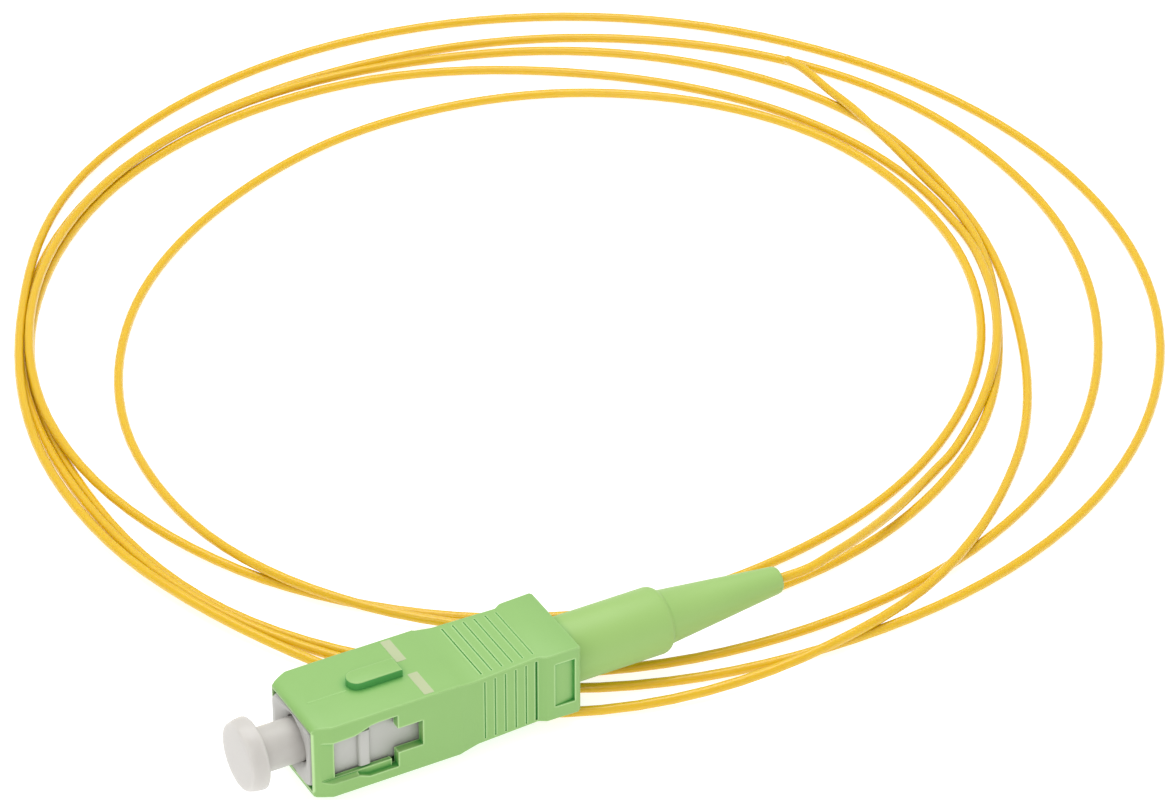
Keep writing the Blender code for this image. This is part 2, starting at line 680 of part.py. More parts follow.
def smooth_route(points, spacing):
    """Points at an even spacing on a smooth curve through hand-chosen points."""
    padded = [2 * points[0] - points[1]] + points + [2 * points[-1] - points[-2]]
    dense = []
    for p0, p1, p2, p3 in zip(padded, padded[1:], padded[2:], padded[3:]):
        for step in range(20):
            t = step / 20
            dense.append(
                0.5
                * (
                    2 * p1
                    + (p2 - p0) * t
                    + (2 * p0 - 5 * p1 + 4 * p2 - p3) * t * t
                    + (3 * p1 - p0 - 3 * p2 + p3) * t * t * t
                )
            )
    dense.append(points[-1])
    total = sum((b - a).length for a, b in zip(dense, dense[1:]))
    count = max(2, round(total / spacing))
    step_length = total / count
    chosen = [dense[0]]
    walked = 0.0
    for a, b in zip(dense, dense[1:]):
        walked += (b - a).length
        if walked >= step_length * len(chosen) - 1e-9 and len(chosen) < count:
            chosen.append(b)
    chosen.append(dense[-1])
    return chosen


def make_cord_lead(material):
    """The stretch of fibre cord from inside the boot down to the coil."""
    points = smooth_route([Vector(point) * MM for point in LEAD_ROUTE], LEAD_POINT_SPACING)
    curve = bpy.data.curves.new("fibre_cord_lead", "CURVE")
    curve.dimensions = "3D"
    curve.bevel_depth = CORD_RADIUS
    curve.bevel_resolution = 2
    curve.use_fill_caps = True
    spline = curve.splines.new("POLY")
    spline.points.add(len(points) - 1)
    for target, point in zip(spline.points, points):
        target.co = (*point, 1.0)
    curve.materials.append(material)
    lead = bpy.data.objects.new("fibre_cord_lead", curve)
    bpy.context.collection.objects.link(lead)
    return lead


def make_cord_coil(material):
    """The outer shape of the loose coil: a flat ring one cord thick, wider where the turns spread."""
    bm = bmesh.new()
    rings = []
    for z in (COIL_BOTTOM_Z, COIL_TOP_Z):
        for centre, radius in (
            (COIL_INNER_CENTRE, COIL_INNER_RADIUS),
            (COIL_OUTER_CENTRE, COIL_OUTER_RADIUS),
        ):
            angles = (2 * math.pi * index / COIL_SEGMENTS for index in range(COIL_SEGMENTS))
            ring = [
                bm.verts.new((centre[0] + radius * math.cos(a), centre[1] + radius * math.sin(a), z))
                for a in angles
            ]
            rings.append(ring)
    low_inner, low_outer, high_inner, high_outer = rings
    for first, second in (
        (low_inner, low_outer),
        (low_outer, high_outer),
        (high_outer, high_inner),
        (high_inner, low_inner),
    ):
        for index in range(COIL_SEGMENTS):
            after = (index + 1) % COIL_SEGMENTS
            bm.faces.new((first[index], first[after], second[after], second[index]))
    coil = add_object("fibre_cord_coil", bm, material)
    shade_round(coil)
    return coil


def main():
    clear_scene()
    green = make_material("green_plastic", (0.30, 0.62, 0.22), 0.45)
    boot_green = make_material("green_rubber", (0.36, 0.66, 0.26), 0.55)
    white = make_material("white_plastic", (0.80, 0.80, 0.82), 0.4)
    cap_white = make_material("milky_plastic", (0.78, 0.76, 0.74), 0.35)
    zirconia = make_material("zirconia", (0.88, 0.87, 0.84), 0.15)
    nickel = make_material("nickel_plate", (0.66, 0.63, 0.56), 0.3, 1.0)
    steel = make_material("spring_steel", (0.55, 0.56, 0.58), 0.3, 1.0)
    yellow = make_material("yellow_jacket", (0.93, 0.58, 0.02), 0.4)
    make_outer_housing(green)
    make_plug_frame(white)
    make_ferrule(zirconia)
    make_ferrule_holder(nickel)
    make_spring(steel)
    make_rear_body(nickel)
    make_boot(boot_green)
    make_dust_cap(cap_white)
    make_cord_lead(yellow)
    make_cord_coil(yellow)


main()
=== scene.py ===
import math

import bmesh
import bpy
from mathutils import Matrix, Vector


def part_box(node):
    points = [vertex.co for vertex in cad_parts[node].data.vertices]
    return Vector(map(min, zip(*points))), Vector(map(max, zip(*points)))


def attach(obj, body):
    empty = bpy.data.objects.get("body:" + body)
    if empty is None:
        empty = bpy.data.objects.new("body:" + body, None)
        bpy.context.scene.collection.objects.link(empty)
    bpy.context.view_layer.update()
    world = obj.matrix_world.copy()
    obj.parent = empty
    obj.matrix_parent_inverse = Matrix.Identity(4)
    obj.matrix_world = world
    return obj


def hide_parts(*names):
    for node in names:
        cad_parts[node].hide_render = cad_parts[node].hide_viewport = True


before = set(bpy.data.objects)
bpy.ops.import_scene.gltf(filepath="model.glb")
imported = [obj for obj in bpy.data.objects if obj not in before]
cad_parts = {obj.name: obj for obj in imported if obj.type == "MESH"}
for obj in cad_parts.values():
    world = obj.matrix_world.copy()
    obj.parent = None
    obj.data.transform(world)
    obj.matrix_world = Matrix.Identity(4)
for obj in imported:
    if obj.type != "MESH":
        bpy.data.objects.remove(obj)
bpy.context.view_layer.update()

MM = 0.001

# The camera, fitted to the plug's known width and height in the 1175 by 800 picture
CAMERA_PLACE = (-0.1568, -0.3258, 0.2839)
CAMERA_TILT = math.radians(55.56)
CAMERA_TURN = math.radians(-28.74)
CAMERA_LENS = 164.65

# Places taken from the solids
HOUSING_LOW, HOUSING_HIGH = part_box("outer_housing")
FRAME_LOW, FRAME_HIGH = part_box("plug_frame")
BOOT_LOW, BOOT_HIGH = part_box("boot")
CAP_LOW, CAP_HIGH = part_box("dust_cap")
COIL_LOW, COIL_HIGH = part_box("fibre_cord_coil")
AXIS_Z = (BOOT_LOW.z + BOOT_HIGH.z) / 2
FLOOR_Z = COIL_LOW.z
HOUSING_TOP = 2 * AXIS_Z
BLOCK_HALF_WIDTH = 4.45

# The cord: 0.9 mm tight-buffered fibre
CORD_DIAMETER = 0.9 * MM
CORD_REST_Z = FLOOR_Z + CORD_DIAMETER / 2
COIL_CENTRE = (48.5, 50.0)
STATION_DEGREES = 30
SAMPLE_DEGREES = 3
LOWEST_HUMP_SAMPLES = 4

# The stretch from the boot to the coil, in millimetres: straight out of the boot, then down
LEAD_ROUTE = (
    (27.0, 0.0, 3.7),
    (34.0, 0.0, 3.7),
    (41.0, 0.0, 3.7),
    (44.2, 0.15, 3.66),
    (47.6, 1.4, 3.35),
    (51.3, 3.4, 2.45),
    (55.0, 5.75, 1.4),
    (58.6, 8.15, 0.5),
    (62.0, 10.5, -0.2),
    (65.2, 12.65, -0.68),
    (68.8, 14.85, -0.72),
    (73.8, 18.9, -0.45),
    (78.2, 23.4, 0.0),
    (81.9, 28.4, 0.15),
    (84.9, 33.9, 0.12),
    (87.2, 39.6, -0.08),
    (88.7, 44.6, -0.45),
)

# Radius of each turn, in millimetres, at every 30 degrees from the +X side of the coil
TURN_RADII = (
    (41.0, 43.4, 46.1, 50.2, 52.2, 52.4, 52.9, 55.9, 55.1, 52.2, 50.3, 49.4),
    (50.6, 52.9, 53.4, 53.0, 53.5, 53.3, 53.8, 56.8, 57.4, 55.6, 55.3, 55.3),
    (55.5, 56.3, 57.7, 57.9, 56.35, 53.4, 55.0, 57.75, 60.9, 55.2, 46.7, 41.9),
    (42.9, 47.8, 50.6, 51.6, 52.6, 52.5, 52.2, 49.85, 46.9, 41.8, 38.9, 38.3),
    (39.5, 41.9, 42.4, 41.6, 41.1, 43.1, 46.5, 50.0, 49.0, 45.3, 41.8, 39.9),
)

# The bare end leaves the coil outwards: degrees past the last turn, and radius in millimetres
FREE_END = ((0, 42.0), (9, 42.7), (19, 44.9), (25, 46.8), (30, 48.7), (35, 51.4), (37.4, 52.4))

# The housing, in millimetres: (place behind the plug's datum, width, underside, top) of each section
HOUSING_STATIONS = (
    (0.45, 7.44, 0.3, 6.95),
    (0.56, 7.56, 0.12, 7.12),
    (0.76, 7.76, 0.02, 7.26),
    (1.2, 8.18, 0.0, 7.37),
    (1.95, 8.92, 0.0, 7.4),
    (2.1, 9.0, 0.0, 7.4),
    (14.1, 9.0, 0.0, 7.4),
    (14.4, 8.92, 0.06, 7.3),
    (15.7, 8.68, 0.3, 7.15),
    (16.0, 8.62, 0.33, 7.14),
    (21.84, 8.0, 0.33, 7.25),
    (21.96, 8.06, 0.33, 7.25),
    (22.5, 8.76, 0.34, 7.25),
    (22.75, 8.84, 0.35, 7.26),
    (25.5, 8.96, 0.35, 7.32),
    (25.74, 8.76, 0.45, 7.22),
    (25.86, 8.4, 0.62, 7.0),
)
LONG_EDGE = 0.12

# The plug's datum, from which the places behind it are counted
FRONT_X = HOUSING_LOW.x - HOUSING_STATIONS[0][0] * MM
HOUSING_CAVITY = (7.3, 6.1)
HOUSING_CAVITY_END = 13.5
REAR_CAVITY = (5.8, 5.2)
BOOT_HOLE_RADIUS = 3.2
BOOT_HOLE_START = 22.2

# Grip grooves
GRIP_START = 16.0
GRIP_LENGTH = 5.84
GRIP_HALF_WIDTHS = (4.31, 4.0)
GRIP_HALF_HEIGHTS = (3.4, 3.55)
GRIP_UNDERSIDE = 0.33
GROOVE_FIRST = 16.6
GROOVE_PITCH = 1.02
GROOVE_COUNT = 6
GROOVE_WIDTH = 0.15
LAST_GROOVE_WIDTH = 0.24
GROOVE_DEPTH = 0.1
LAST_GROOVE_DEPTH = 0.22
TOP_GROOVE_DEPTH = 0.06
GROOVE_TOP_MARGIN = 0.6
GROOVE_SIDE_MARGIN = 0.4

# Key on the top: (front, length, width) and its softened edge
KEY_FRONT = 5.7
KEY_LENGTH = 4.8
KEY_WIDTH = 1.95
KEY_SUNK = 0.3
KEY_EDGE = 0.14
KEY_FOOT = 0.16
KEY_SIDE_LEAN = 0.6

# Latch window through each side: its outline as (place, height over the underside)
WINDOW_OUTLINE = (
    (2.38, 5.7),
    (4.2, 5.76),
    (5.0, 6.04),
    (5.7, 6.32),
    (6.4, 6.4),
    (8.2, 6.4),
    (8.2, 5.05),
    (10.56, 5.05),
    (10.56, 2.5),
    (8.2, 2.5),
    (8.2, 1.0),
    (7.76, 1.0),
    (7.76, 1.7),
    (2.38, 1.7),
)
POCKET_OUTLINE = ((4.5, 1.42), (5.5, 1.0), (8.0, 1.0), (8.0, 1.8), (4.5, 1.8))
POCKET_FLOOR = 4.05
LEDGE_INNER = 1.66
LEDGE_OUTER = 1.38
LEDGE_REACH = (0.65, 4.6)
POST_RISE = (1.7, 5.7)
LINE_REACH = (1.7, 5.4)
LINE_SIDE = -0.5
LINE_WIDTH = 0.1
POST_FRONT = 0.65
POST_DEPTH = 0.45
INSIDE_WALL = 3.3
BEYOND = 3.0

# Bare recessed panels on the rear block's sides, deeper towards the boot
PANEL_REACH = (23.3, 25.2)
PANEL_RISE = (1.7, 6.2)
PANEL_DEPTHS = (0.14, 0.3)

# Pad-printed marks on the top: (front, rear) and (inner, outer) edges, and the ink's thickness
MARK_REACH = (10.93, 11.85)
MARK_SPREAD = (0.97, 4.17)
INK = 0.02

# Plug frame
FRAME_BODY = (7.0, 5.6)
FRAME_COLLAR = (7.12, 5.9)
FRAME_COLLAR_END = 2.0
FRAME_NOSE = 0.35
FRAME_CORNER = 0.9
FRAME_FRONT = 0.3
SLEEVE_MOUTH = (2.98, 0.6)
SLEEVE_THROAT = (2.12, 1.2)
FRAME_STEP = 13.0
FRAME_REAR = (5.2, 4.6)
RIDGE_REACH = (4.76, 5.86)
RIDGE_HEIGHT = 3.6
RIDGE_HALF_SPREAD = 3.98
SLEEVE_BORE = 2.45
SLEEVE_BORE_END = 7.0

# Boot, as (place behind the housing's front face, radius)
BOOT_OUTSIDE = (
    (24.3, 3.05),
    (35.35, 3.05),
    (35.62, 2.99),
    (35.86, 2.86),
    (36.04, 2.7),
    (36.16, 2.52),
    (36.3, 2.46),
    (42.0, 1.86),
    (47.55, 1.26),
    (47.78, 1.2),
    (47.94, 1.08),
    (48.0, 0.9),
)
BOOT_NECK = 2.3
BOOT_INSIDE = ((48.0, 0.75), (31.2, 0.75), (31.2, 1.9), (20.6, 1.9))

# Dust cap, as (place, radius) from its outer face inwards
CAP_OUTSIDE = (
    (-4.72, 2.2),
    (-4.7, 2.8),
    (-4.67, 2.92),
    (-4.6, 3.0),
    (-4.5, 3.05),
    (-3.9, 3.2),
    (-3.3, 3.24),
    (-3.18, 3.21),
    (-3.11, 3.14),
    (-3.08, 3.04),
    (-3.06, 2.12),
    (-3.02, 2.03),
    (-2.91, 1.99),
    (4.5, 1.99),
    (4.6, 1.9),
)
CAP_BORE = 1.55
CAP_BORE_END = -1.4
TURNED_SIDES = 96

# How far from an inner corner the painted shade reaches, and how far in from a thin outer edge the painted highlight
# reaches
PAINTED_SHADE_REACH = 0.9
PAINTED_HIGHLIGHT_REACH = 0.2


def linear(hex_colour):
    """An sRGB hex colour as the linear RGBA that a shader takes."""
    channels = [int(hex_colour[start:start + 2], 16) / 255 for start in (1, 3, 5)]
    curve = [c / 12.92 if c <= 0.04045 else ((c + 0.055) / 1.055) ** 2.4 for c in channels]
    return (*curve, 1.0)


def add_node(tree, kind, settings=(), **links):
    """Add a shader node, set its properties or inputs (by name or number), and link other nodes' outputs."""
    node = tree.nodes.new(kind)
    for name, value in dict(settings).items():
        if isinstance(name, int) or name in node.inputs:
            node.inputs[name].default_value = value
        else:
            setattr(node, name, value)
    for name, output in links.items():
        tree.links.new(output, node.inputs[name])
    return node


def new_material(name):
    """An empty Principled material, with its tree and its shader."""
    material = bpy.data.materials.new(name)
    material.use_nodes = True
    tree = material.node_tree
    return material, tree, tree.nodes["Principled BSDF"]


def moulded_plastic(name, main, deep, roughness, grain_mm, grain_depth, glow=0.0, glow_radius=0.0, corner=None, edge=None):
    """Injection-moulded plastic: a slightly cloudy colour and the fine satin grain of the mould's skin.

    A corner colour is painted shade: it darkens the colour in recesses and along inner corners, where shade falls,
    and an edge colour is a painted highlight that pales the thin outer edges."""
    material, tree, shader = new_material(name)
    place = add_node(tree, "ShaderNodeTexCoord")
    cloud = add_node(tree, "ShaderNodeTexNoise", {"Scale": 1 / (6 * MM), "Detail": 3.0}, Vector=place.outputs["Object"])
    blend = add_node(
        tree, "ShaderNodeMix", {"data_type": "RGBA", 6: linear(main), 7: linear(deep)}, Factor=cloud.outputs["Fac"]
    )
    colour = blend.outputs[2]
    # Painted shade: ambient occlusion darkens the colour towards the corner colour in recesses and inner corners
    if corner:
        nearby = add_node(tree, "ShaderNodeAmbientOcclusion", {"samples": 12, "Distance": PAINTED_SHADE_REACH * MM})
        openness = add_node(
            tree, "ShaderNodeMapRange", {"From Min": 0.4, "From Max": 0.95}, Value=nearby.outputs["AO"]
        )
        painted_shade_mix = add_node(
            tree, "ShaderNodeMix", {"data_type": "RGBA", 6: linear(corner)}, Factor=openness.outputs["Result"]
        )
        tree.links.new(colour, painted_shade_mix.inputs[7])
        colour = painted_shade_mix.outputs[2]
    # Painted highlight: inside ambient occlusion pales the colour towards the edge colour along thin outer edges
    if edge:
        inside = add_node(
            tree, "ShaderNodeAmbientOcclusion", {"samples": 12, "inside": True, "Distance": PAINTED_HIGHLIGHT_REACH * MM}
        )
        thickness = add_node(
            tree, "ShaderNodeMapRange", {"From Min": 0.5, "From Max": 0.95}, Value=inside.outputs["AO"]
        )
        painted_highlight_mix = add_node(
            tree, "ShaderNodeMix", {"data_type": "RGBA", 6: linear(edge)}, Factor=thickness.outputs["Result"]
        )
        tree.links.new(colour, painted_highlight_mix.inputs[7])
        colour = painted_highlight_mix.outputs[2]
    tree.links.new(colour, shader.inputs["Base Color"])
    grain = add_node(
        tree, "ShaderNodeTexNoise", {"Scale": 1 / (grain_mm * MM), "Detail": 2.0}, Vector=place.outputs["Object"]
    )
    bump = add_node(
        tree, "ShaderNodeBump", {"Strength": grain_depth, "Distance": 0.02 * MM}, Height=grain.outputs["Fac"]
    )
    tree.links.new(bump.outputs["Normal"], shader.inputs["Normal"])
    shader.inputs["Roughness"].default_value = roughness
    shader.inputs["IOR"].default_value = 1.52
    if glow:
        shader.inputs["Subsurface Weight"].default_value = glow
        shader.inputs["Subsurface Radius"].default_value = (1.0, 1.0, 1.0)
        shader.inputs["Subsurface Scale"].default_value = glow_radius
    return material


def turned_metal(name, main, dull, roughness, line_mm):
    """Lathe-turned or drawn metal: fine rings along the plug's axis and faint dull patches of handling."""
    material, tree, shader = new_material(name)
    place = add_node(tree, "ShaderNodeTexCoord")
    rings = add_node(
        tree,
        "ShaderNodeTexWave",
        {"bands_direction": "X", "Scale": 1 / (line_mm * 20 * MM), "Distortion": 1.5, "Detail": 2.0},
        Vector=place.outputs["Object"],
    )
    bump = add_node(tree, "ShaderNodeBump", {"Strength": 0.2, "Distance": 0.01 * MM}, Height=rings.outputs["Fac"])
    tree.links.new(bump.outputs["Normal"], shader.inputs["Normal"])
    patches = add_node(
        tree, "ShaderNodeTexNoise", {"Scale": 1 / (2.5 * MM), "Detail": 4.0}, Vector=place.outputs["Object"]
    )
    blend = add_node(
        tree, "ShaderNodeMix", {"data_type": "RGBA", 6: linear(main), 7: linear(dull)}, Factor=patches.outputs["Fac"]
    )
    tree.links.new(blend.outputs[2], shader.inputs["Base Color"])
    shader.inputs["Metallic"].default_value = 1.0
    shader.inputs["Roughness"].default_value = roughness
    return material


def deselect():
    """Nothing selected and nothing active, so that an operator acts on new work only."""
    if bpy.context.mode != "OBJECT":
        bpy.ops.object.mode_set(mode="OBJECT")
    bpy.ops.object.select_all(action="DESELECT")


def make_active(piece):
    """Select one piece alone."""
    deselect()
    piece.select_set(True)
    bpy.context.view_layer.objects.active = piece


def block(name, low, high):
    """A primitive cube stretched between two corners, its place in its mesh."""
    deselect()
    middle = [(a + b) / 2 for a, b in zip(low, high)]
    size = [b - a for a, b in zip(low, high)]
    bpy.ops.mesh.primitive_cube_add(size=1.0, location=middle, scale=size)
    bpy.ops.object.transform_apply(location=True, rotation=True, scale=True)
    piece = bpy.context.active_object
    piece.name = name
    piece.data.name = name
    return piece


def pick_edges(piece, wanted):
    """In edit mode, select the edges for which wanted(first end, second end) holds."""
    mesh = bmesh.from_edit_mesh(piece.data)
    bpy.ops.mesh.select_mode(type="EDGE")
    bpy.ops.mesh.select_all(action="DESELECT")
    for edge in mesh.edges:
        if wanted(edge.verts[0].co, edge.verts[1].co):
            edge.select = True
    bmesh.update_edit_mesh(piece.data)


def pick_faces(piece, wanted):
    """In edit mode, select the faces for which wanted(middle, normal) holds."""
    mesh = bmesh.from_edit_mesh(piece.data)
    bpy.ops.mesh.select_mode(type="FACE")
    bpy.ops.mesh.select_all(action="DESELECT")
    for face in mesh.faces:
        if wanted(face.calc_center_median(), face.normal):
            face.select = True
    bmesh.update_edit_mesh(piece.data)


def round_edges(piece, wanted, radius, segments):
    """Bevel the edges that wanted picks, in edit mode."""
    pick_edges(piece, wanted)
    bpy.ops.mesh.bevel(offset=radius, segments=segments, clamp_overlap=True)


def combine(piece, tool, operation):
    """Apply a Boolean with another piece, which is then removed."""
    make_active(piece)
    modifier = piece.modifiers.new(tool.name, "BOOLEAN")
    modifier.operation = operation
    modifier.solver = "EXACT"
    modifier.object = tool
    bpy.ops.object.modifier_apply(modifier=modifier.name)
    bpy.data.objects.remove(tool, do_unlink=True)


def soften(piece, radius, segments=2, limit=35):
    """Take the sharpness off every hard edge with an applied Bevel, then shade the piece."""
    make_active(piece)
    modifier = piece.modifiers.new("soft_edges", "BEVEL")
    modifier.width = radius
    modifier.segments = segments
    modifier.limit_method = "ANGLE"
    modifier.angle_limit = math.radians(limit)
    modifier.use_clamp_overlap = True
    modifier.miter_outer = "MITER_ARC"
    bpy.ops.object.modifier_apply(modifier=modifier.name)
    bpy.ops.object.shade_smooth_by_angle(angle=math.radians(limit))


def closed_ring(name, profile, capped=False):
    """A turned piece about the plug's axis, a circle extruded through (x, radius) places.

    Its two ends are bridged to each other, or each filled where capped."""
    deselect()
    bpy.ops.mesh.primitive_circle_add(
        vertices=TURNED_SIDES,
        radius=profile[0][1],
        fill_type="NOTHING",
        location=(profile[0][0], 0.0, AXIS_Z),
        rotation=(0.0, math.pi / 2, 0.0),
    )
    piece = bpy.context.active_object
    piece.name = name
    piece.data.name = name
    bpy.ops.object.transform_apply(location=True, rotation=True, scale=True)
    bpy.ops.object.mode_set(mode="EDIT")
    bpy.ops.mesh.select_mode(type="EDGE")
    bpy.ops.mesh.select_all(action="SELECT")
    for (x, radius), (next_x, next_radius) in zip(profile, profile[1:]):
        bpy.ops.mesh.extrude_region_move(TRANSFORM_OT_translate={"value": (next_x - x, 0.0, 0.0)})
        share = next_radius / radius
        bpy.ops.transform.resize(value=(1.0, share, share), center_override=(next_x, 0.0, AXIS_Z))
    bpy.ops.mesh.select_all(action="DESELECT")
    bpy.ops.mesh.select_non_manifold(extend=False)
    if capped:
        bpy.ops.mesh.fill_holes(sides=0)
    else:
        bpy.ops.mesh.bridge_edge_loops()
    bpy.ops.mesh.select_all(action="SELECT")
    bpy.ops.mesh.normals_make_consistent(inside=False)
    bpy.ops.object.mode_set(mode="OBJECT")
    return piece


def closed_plug(name, places):
    """A solid turned cutter between two (place, radius) ends."""
    return closed_ring(name, [(along(place), radius * MM) for place, radius in places], capped=True)


def stretch_through(name, stations):
    """A closed bar along X through (x, half width, low z, high z) stations, extruded from a cube."""
    (x, half, low, high), (next_x, _, _, _) = stations[:2]
    piece = block(name, (x, -half, low), (next_x, half, high))
    bpy.ops.object.mode_set(mode="EDIT")
    pick_faces(piece, lambda middle, normal: normal.x > 0.9)
    for index, (next_x, next_half, next_low, next_high) in enumerate(stations[1:]):
        if index:
            bpy.ops.mesh.extrude_region_move(TRANSFORM_OT_translate={"value": (next_x - x, 0.0, 0.0)})
        shares = (1.0, next_half / half, (next_high - next_low) / (high - low))
        middle = (low + high) / 2
        bpy.ops.transform.resize(value=shares, center_override=(next_x, 0.0, middle))
        bpy.ops.transform.translate(value=(0.0, 0.0, (next_low + next_high) / 2 - middle))
        x, half, low, high = next_x, next_half, next_low, next_high
    bpy.ops.object.mode_set(mode="OBJECT")
    return piece


def prism(name, corners, across):
    """A flat outline, from a circle primitive with its corners moved, extruded by the vector across."""
    deselect()
    bpy.ops.mesh.primitive_circle_add(vertices=len(corners), radius=1.0, fill_type="NGON")
    piece = bpy.context.active_object
    piece.name = name
    piece.data.name = name
    for vertex, corner in zip(piece.data.vertices, corners):
        vertex.co = corner
    bpy.ops.object.mode_set(mode="EDIT")
    bpy.ops.mesh.select_all(action="SELECT")
    bpy.ops.mesh.extrude_region_move(TRANSFORM_OT_translate={"value": across})
    bpy.ops.mesh.select_all(action="SELECT")
    bpy.ops.mesh.normals_make_consistent(inside=False)
    bpy.ops.object.mode_set(mode="OBJECT")
    return piece


def join_pieces(pieces, name):
    """Several pieces made into one object."""
    deselect()
    for piece in pieces:
        piece.select_set(True)
    bpy.context.view_layer.objects.active = pieces[0]
    bpy.ops.object.join()
    pieces[0].name = name
    pieces[0].data.name = name
    return pieces[0]


def finish_piece(piece, material, body, slot, *nodes):
    """Give a piece its finish, its body and the solids that it stands for."""
    piece.data.materials.clear()
    piece.data.materials.append(material)
    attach(piece, body)
    if nodes:
        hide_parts(*nodes)


def smooth_line(points, steps):
    """A Catmull-Rom curve through the points, with steps samples for each gap."""
    padded = [2 * points[0] - points[1], *points, 2 * points[-1] - points[-2]]
    line = []
    for a, b, c, d in zip(padded, padded[1:], padded[2:], padded[3:]):
        for step in range(steps):
            t = step / steps
            line.append(
                0.5 * (2 * b + (c - a) * t + (2 * a - 5 * b + 4 * c - d) * t * t + (3 * b - a - 3 * c + d) * t**3)
            )
    line.append(points[-1])
    return line


def coil_samples():
    """Angle and radius of the coil's turns and its free end, at every sample."""
    stations = [
        Vector((STATION_DEGREES * index, radius))
        for index, radius in enumerate(radius for turn in TURN_RADII for radius in turn)
    ]
    last = STATION_DEGREES * len(stations)
    steps = STATION_DEGREES // SAMPLE_DEGREES
    stations.append(Vector((last, FREE_END[0][1])))
    turns = smooth_line(stations, steps)[:-1]
    end = [Vector((last + degrees, radius)) for degrees, radius in FREE_END]
    return turns + smooth_line(end, 3)


def stacked_heights(samples):
    """Height of each sample: on the floor, or over whatever earlier turn it lies on."""
    width = CORD_DIAMETER / MM
    per_turn = 360 // SAMPLE_DEGREES
    heights = []
    for index, (angle, radius) in enumerate(samples):
        height = 0.0
        for earlier in range(len(heights)):
            turned = (angle - samples[earlier][0]) % 360
            if index - earlier < per_turn // 2 or min(turned, 360 - turned) > SAMPLE_DEGREES / 2:
                continue
            apart = abs(radius - samples[earlier][1])
            if apart < width:
                height = max(height, heights[earlier] + math.sqrt(width**2 - apart**2))
        heights.append(height)
    return heights


def long_humps(heights):
    """Spread each hump out along the cord, so that it rises and falls gently."""
    reach = LOWEST_HUMP_SAMPLES
    count = len(heights)
    raised = [max(heights[max(0, i - reach):min(count, i + reach + 1)]) for i in range(count)]
    return [
        sum(raised[max(0, i - reach):min(count, i + reach + 1)])
        / len(raised[max(0, i - reach):min(count, i + reach + 1)])
        for i in range(count)
    ]


def cord_route():
    """The whole centreline in metres: out of the boot, down to the coil, and round it to the bare end."""
    samples = coil_samples()
    heights = long_humps(stacked_heights(samples))
    coil = []
    for (angle, radius), height in zip(samples, heights):
        turn = math.radians(angle)
        x = (COIL_CENTRE[0] + radius * math.cos(turn)) * MM
        y = (COIL_CENTRE[1] + radius * math.sin(turn)) * MM
        coil.append(Vector((x, y, CORD_REST_Z + height * MM)))
    lead = [Vector(point) * MM for point in LEAD_ROUTE] + coil[:1]
    return smooth_line(lead, 4)[:-1] + coil


def make_cord(material):
    """The yellow fibre cord as one open curve with a round section."""
    route = cord_route()
    curve = bpy.data.curves.new("fibre_cord", "CURVE")
    curve.dimensions = "3D"
    curve.bevel_depth = CORD_DIAMETER / 2
    curve.bevel_resolution = 4
    curve.use_fill_caps = True
    spline = curve.splines.new("POLY")
    spline.points.add(len(route) - 1)
    for target, point in zip(spline.points, route):
        target.co = (*point, 1.0)
    spline.use_smooth = True
    piece = bpy.data.objects.new("fibre_cord", curve)
    bpy.context.collection.objects.link(piece)
    finish_piece(piece, material, "plug", "yellow_jacket", "fibre_cord_lead", "fibre_cord_coil")
    return piece


def along(place):
    """Metres along X of something so many millimetres behind the housing's front face."""
    return FRONT_X + place * MM


def span(first, second, width, height):
    """Low and high corners of a block between two places along the plug, centred on its axis."""
    low = (along(first), -width / 2 * MM, AXIS_Z - height / 2 * MM)
    high = (along(second), width / 2 * MM, AXIS_Z + height / 2 * MM)
    return low, high


def runs_lengthwise(first, second):
    """True for an edge that runs along the plug."""
    edge = second - first
    return abs(edge.x) > max(abs(edge.y), abs(edge.z))


def housing_body():
    """The housing's outer form: chamfered front corners, front part, waist, grip and rear block."""
    stations = [
        (along(place), width / 2 * MM, underside * MM, top * MM)
        for place, width, underside, top in HOUSING_STATIONS
    ]
    piece = stretch_through("housing_shell", stations)
    bpy.ops.object.mode_set(mode="EDIT")
    pick_edges(piece, runs_lengthwise)
    bpy.ops.mesh.bevel(offset=LONG_EDGE * MM, segments=4, clamp_overlap=False)
    bpy.ops.object.mode_set(mode="OBJECT")
    return piece


def housing_key():
    """The key on the top: a bar with a round front end, softened top edges and a small foot."""
    half = KEY_WIDTH / 2 * MM
    foot = HOUSING_TOP - KEY_SUNK * MM
    key = block("housing_key", (along(KEY_FRONT), -half, foot), (along(KEY_FRONT + KEY_LENGTH), half, HOUSING_HIGH.z))
    bpy.ops.object.mode_set(mode="EDIT")
    front_x = along(KEY_FRONT) + half / 2
    round_edges(key, lambda a, b: max(a.x, b.x) < front_x and abs(a.z - b.z) > half / 2, 0.97 * half, 8)
    round_edges(key, lambda a, b: min(a.z, b.z) > HOUSING_HIGH.z - INK * MM, KEY_EDGE * MM, 3)
    bpy.ops.object.mode_set(mode="OBJECT")
    return key


